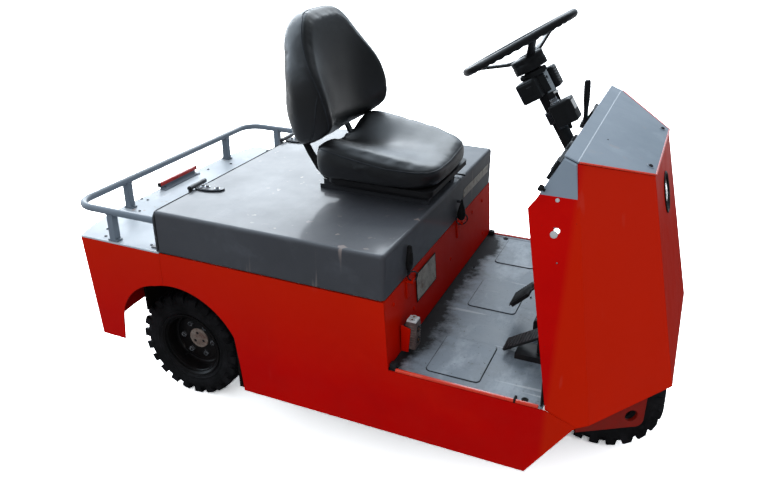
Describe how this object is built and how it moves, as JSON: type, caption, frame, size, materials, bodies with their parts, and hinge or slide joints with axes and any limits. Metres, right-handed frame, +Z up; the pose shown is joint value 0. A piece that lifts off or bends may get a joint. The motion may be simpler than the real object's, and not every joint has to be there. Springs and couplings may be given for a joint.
{
  "type": "airport baggage tug",
  "caption": "Red three-wheel electric airport baggage tug with grey battery hood, black sprung seat, guard rail, footwell and faceted front cowl.",
  "frame": {"origin": "on the floor under the middle of the bounding box", "axes": "+X forward, +Y driver's left, +Z up"},
  "size_m": [1.98, 1.08, 1.4388],
  "materials": {
    "body_red": "semi-gloss",
    "frame_red": "satin",
    "deck_grey": "satin",
    "hood_grey": "semi-gloss",
    "floor_grey": "matte",
    "rail_grey": "semi-gloss",
    "trim_black": "satin",
    "rubber_black": "matte",
    "steel": "brushed",
    "cast_black": "matte",
    "lamp_glass": "clear",
    "plastic_black": "matte",
    "plastic_grey": "matte",
    "rim_black": "satin",
    "tyre_black": "matte",
    "battery_case": "matte",
    "seat_vinyl": "glossy"
  },
  "bodies": {
    "chassis": {"chassis_frame": "frame_red", "rear_body": "body_red", "rear_deck": "deck_grey", "side_skirt_right": "body_red", "side_skirt_left": "body_red", "kneeboard": "body_red", "floor_plate": "floor_grey", "sill_trim": "trim_black", "hood_bulkhead": "hood_grey", "latch_catches": "body_red", "guard_rail": "rail_grey", "release_bar": "body_red", "tow_coupling": "cast_black", "cowl": "body_red", "headlamp": "lamp_glass", "cowl_top_plate": "hood_grey", "console_panel": "hood_grey", "instruments": "plastic_black", "direction_lever": "plastic_black", "toe_board": "trim_black", "steering_column": "trim_black", "column_switches": "plastic_black", "steer_gearbox": "cast_black", "rear_axle": "cast_black", "drive_motor": "cast_black", "battery": "battery_case", "battery_plug": "plastic_grey", "pedals": "trim_black"},
    "hood_body": {"hood": "hood_grey", "hood_hinge_straps": "steel", "hood_latches": "rubber_black", "seat_rails": "steel", "seat_pan": "plastic_black", "seat_cushion": "seat_vinyl", "seat_back": "seat_vinyl", "seat_back_bars": "trim_black"},
    "steering_wheel_body": {"steering_wheel": "plastic_black"},
    "steer_fork": {"front_fork": "cast_black"},
    "front_wheel": {"front_rim": "rim_black", "front_tyre": "tyre_black"},
    "rear_wheel_right": {"rear_rim_right": "rim_black", "rear_tyre_right": "tyre_black"},
    "rear_wheel_left": {"rear_rim_left": "rim_black", "rear_tyre_left": "tyre_black"},
    "coupling_pin_body": {"coupling_pin": "steel"}
  },
  "joints": [
    {"name": "hood_hinge", "type": "hinge", "parent": "chassis", "child": "hood_body", "pos_m": [-0.603, 0, 0.834], "axis": [0, -1, 0], "range_deg": [0, 62]},
    {"name": "steering_wheel_turn", "type": "hinge", "parent": "chassis", "child": "steering_wheel_body", "pos_m": [0.399, 0, 1.334], "axis": [-0.5344, 0, 0.8453], "range_deg": [-350, 350]},
    {"name": "front_steer", "type": "hinge", "parent": "chassis", "child": "steer_fork", "pos_m": [0.7825, 0, 0.45], "axis": [0, 0, 1], "range_deg": [-70, 70]},
    {"name": "front_wheel_spin", "type": "hinge", "parent": "steer_fork", "child": "front_wheel", "pos_m": [0.7825, 0, 0.2075], "axis": [0, 1, 0], "continuous": true},
    {"name": "rear_wheel_right_spin", "type": "hinge", "parent": "chassis", "child": "rear_wheel_right", "pos_m": [-0.664, -0.318, 0.2075], "axis": [0, 1, 0], "continuous": true},
    {"name": "rear_wheel_left_spin", "type": "hinge", "parent": "chassis", "child": "rear_wheel_left", "pos_m": [-0.664, 0.318, 0.2075], "axis": [0, 1, 0], "continuous": true},
    {"name": "coupling_pin_lift", "type": "slide", "parent": "chassis", "child": "coupling_pin_body", "axis": [0, 0, 1], "range_m": [0, 0.09]}
  ],
  "couplings": [
    {"joint": "steering_wheel_turn", "follows": "front_steer", "ratio": 5}
  ]
}
